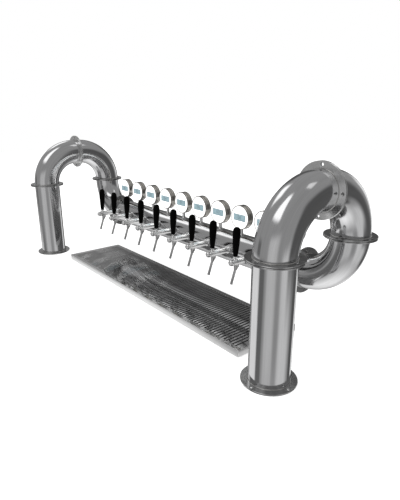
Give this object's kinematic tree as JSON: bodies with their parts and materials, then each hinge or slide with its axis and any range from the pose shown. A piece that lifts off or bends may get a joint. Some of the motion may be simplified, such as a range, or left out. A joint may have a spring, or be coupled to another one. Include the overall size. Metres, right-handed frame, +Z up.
{
  "type": "beer tower dispenser",
  "caption": "Arched pipe beer tower with a row of lever taps, round lit medallions and a slotted drip tray.",
  "frame": {"origin": "on the counter, at the middle of the plan of the two towers", "axes": "+X along the tap bar to the drinkers' right as they face it, -Y towards the drinkers, +Z up"},
  "size_m": [1.484, 0.439, 0.5185],
  "materials": {
    "polished_steel": "polished lengthwise",
    "chrome_plate": "mirror plate",
    "black_grip": "satin",
    "grey_gasket": "matt",
    "plain_steel": "turned",
    "black_rubber": "matt",
    "brass": "turned",
    "white_plastic": "smooth",
    "white_face": "smooth diffuser, lit from behind",
    "blue_label": "printed",
    "circuit_board": "solder mask",
    "clear_line": "smooth",
    "wire_sleeve": "smooth",
    "brushed_steel": "brushed lengthwise"
  },
  "bodies": {
    "tower": {"left_column": "polished_steel", "left_upper_front_elbow": "polished_steel", "left_upper_rear_elbow": "polished_steel", "left_lower_elbow": "polished_steel", "right_column": "polished_steel", "right_upper_front_elbow": "polished_steel", "right_upper_rear_elbow": "polished_steel", "right_lower_elbow": "polished_steel", "tap_bar": "polished_steel", "flange_gaskets": "grey_gasket", "spigot_rings": "plain_steel", "base_gaskets": "black_rubber", "tap_01_body": "chrome_plate", "tap_02_body": "chrome_plate", "tap_03_body": "chrome_plate", "tap_04_body": "chrome_plate", "tap_05_body": "chrome_plate", "tap_06_body": "chrome_plate", "tap_07_body": "chrome_plate", "tap_08_body": "chrome_plate", "tap_09_body": "chrome_plate", "tap_10_body": "chrome_plate", "lever_bonnets": "chrome_plate", "tap_spouts": "chrome_plate", "coupling_nuts": "chrome_plate", "tap_collars": "chrome_plate", "medallion_housings": "chrome_plate", "medallion_posts": "chrome_plate", "tap_shanks": "brass", "lock_nuts": "brass", "post_nuts": "brass", "lock_washers": "white_plastic", "medallion_faces": "white_face", "medallion_labels": "blue_label", "lamp_boards": "circuit_board", "beer_lines": "clear_line", "cooling_loop": "white_plastic", "lamp_wiring": "wire_sleeve", "drip_tray": "brushed_steel"},
    "tap_01_lever_body": {"tap_01_handle": "black_grip"},
    "tap_01_piston_body": {"tap_01_piston": "plain_steel"},
    "tap_02_lever_body": {"tap_02_handle": "black_grip"},
    "tap_02_piston_body": {"tap_02_piston": "plain_steel"},
    "tap_03_lever_body": {"tap_03_handle": "black_grip"},
    "tap_03_piston_body": {"tap_03_piston": "plain_steel"},
    "tap_04_lever_body": {"tap_04_handle": "black_grip"},
    "tap_04_piston_body": {"tap_04_piston": "plain_steel"},
    "tap_05_lever_body": {"tap_05_handle": "black_grip"},
    "tap_05_piston_body": {"tap_05_piston": "plain_steel"},
    "tap_06_lever_body": {"tap_06_handle": "black_grip"},
    "tap_06_piston_body": {"tap_06_piston": "plain_steel"},
    "tap_07_lever_body": {"tap_07_handle": "black_grip"},
    "tap_07_piston_body": {"tap_07_piston": "plain_steel"},
    "tap_08_lever_body": {"tap_08_handle": "black_grip"},
    "tap_08_piston_body": {"tap_08_piston": "plain_steel"},
    "tap_09_lever_body": {"tap_09_handle": "black_grip"},
    "tap_09_piston_body": {"tap_09_piston": "plain_steel"},
    "tap_10_lever_body": {"tap_10_handle": "black_grip"},
    "tap_10_piston_body": {"tap_10_piston": "plain_steel"},
    "grille_body": {"drip_grille": "brushed_steel"}
  },
  "joints": [
    {"name": "tap_01_tilt", "type": "hinge", "parent": "tower", "child": "tap_01_lever_body", "pos_m": [-0.4815, 0.0175, 0.196], "axis": [1, 0, 0], "range_deg": [0, 30]},
    {"name": "tap_01_valve", "type": "slide", "parent": "tower", "child": "tap_01_piston_body", "axis": [0, 1, 0], "range_m": [0, 0.0049]},
    {"name": "tap_02_tilt", "type": "hinge", "parent": "tower", "child": "tap_02_lever_body", "pos_m": [-0.3745, 0.0175, 0.196], "axis": [1, 0, 0], "range_deg": [0, 30]},
    {"name": "tap_02_valve", "type": "slide", "parent": "tower", "child": "tap_02_piston_body", "axis": [0, 1, 0], "range_m": [0, 0.0049]},
    {"name": "tap_03_tilt", "type": "hinge", "parent": "tower", "child": "tap_03_lever_body", "pos_m": [-0.2675, 0.0175, 0.196], "axis": [1, 0, 0], "range_deg": [0, 30]},
    {"name": "tap_03_valve", "type": "slide", "parent": "tower", "child": "tap_03_piston_body", "axis": [0, 1, 0], "range_m": [0, 0.0049]},
    {"name": "tap_04_tilt", "type": "hinge", "parent": "tower", "child": "tap_04_lever_body", "pos_m": [-0.1605, 0.0175, 0.196], "axis": [1, 0, 0], "range_deg": [0, 30]},
    {"name": "tap_04_valve", "type": "slide", "parent": "tower", "child": "tap_04_piston_body", "axis": [0, 1, 0], "range_m": [0, 0.0049]},
    {"name": "tap_05_tilt", "type": "hinge", "parent": "tower", "child": "tap_05_lever_body", "pos_m": [-0.0535, 0.0175, 0.196], "axis": [1, 0, 0], "range_deg": [0, 30]},
    {"name": "tap_05_valve", "type": "slide", "parent": "tower", "child": "tap_05_piston_body", "axis": [0, 1, 0], "range_m": [0, 0.0049]},
    {"name": "tap_06_tilt", "type": "hinge", "parent": "tower", "child": "tap_06_lever_body", "pos_m": [0.0535, 0.0175, 0.196], "axis": [1, 0, 0], "range_deg": [0, 30]},
    {"name": "tap_06_valve", "type": "slide", "parent": "tower", "child": "tap_06_piston_body", "axis": [0, 1, 0], "range_m": [0, 0.0049]},
    {"name": "tap_07_tilt", "type": "hinge", "parent": "tower", "child": "tap_07_lever_body", "pos_m": [0.1605, 0.0175, 0.196], "axis": [1, 0, 0], "range_deg": [0, 30]},
    {"name": "tap_07_valve", "type": "slide", "parent": "tower", "child": "tap_07_piston_body", "axis": [0, 1, 0], "range_m": [0, 0.0049]},
    {"name": "tap_08_tilt", "type": "hinge", "parent": "tower", "child": "tap_08_lever_body", "pos_m": [0.2675, 0.0175, 0.196], "axis": [1, 0, 0], "range_deg": [0, 30]},
    {"name": "tap_08_valve", "type": "slide", "parent": "tower", "child": "tap_08_piston_body", "axis": [0, 1, 0], "range_m": [0, 0.0049]},
    {"name": "tap_09_tilt", "type": "hinge", "parent": "tower", "child": "tap_09_lever_body", "pos_m": [0.3745, 0.0175, 0.196], "axis": [1, 0, 0], "range_deg": [0, 30]},
    {"name": "tap_09_valve", "type": "slide", "parent": "tower", "child": "tap_09_piston_body", "axis": [0, 1, 0], "range_m": [0, 0.0049]},
    {"name": "tap_10_tilt", "type": "hinge", "parent": "tower", "child": "tap_10_lever_body", "pos_m": [0.4815, 0.0175, 0.196], "axis": [1, 0, 0], "range_deg": [0, 30]},
    {"name": "tap_10_valve", "type": "slide", "parent": "tower", "child": "tap_10_piston_body", "axis": [0, 1, 0], "range_m": [0, 0.0049]},
    {"name": "grille_lift", "type": "slide", "parent": "tower", "child": "grille_body", "axis": [0, 0, 1], "range_m": [0, 0.06]}
  ],
  "couplings": [
    {"joint": "tap_01_valve", "follows": "tap_01_tilt", "m_per_rad": 0.0092},
    {"joint": "tap_02_valve", "follows": "tap_02_tilt", "m_per_rad": 0.0092},
    {"joint": "tap_03_valve", "follows": "tap_03_tilt", "m_per_rad": 0.0092},
    {"joint": "tap_04_valve", "follows": "tap_04_tilt", "m_per_rad": 0.0092},
    {"joint": "tap_05_valve", "follows": "tap_05_tilt", "m_per_rad": 0.0092},
    {"joint": "tap_06_valve", "follows": "tap_06_tilt", "m_per_rad": 0.0092},
    {"joint": "tap_07_valve", "follows": "tap_07_tilt", "m_per_rad": 0.0092},
    {"joint": "tap_08_valve", "follows": "tap_08_tilt", "m_per_rad": 0.0092},
    {"joint": "tap_09_valve", "follows": "tap_09_tilt", "m_per_rad": 0.0092},
    {"joint": "tap_10_valve", "follows": "tap_10_tilt", "m_per_rad": 0.0092}
  ]
}
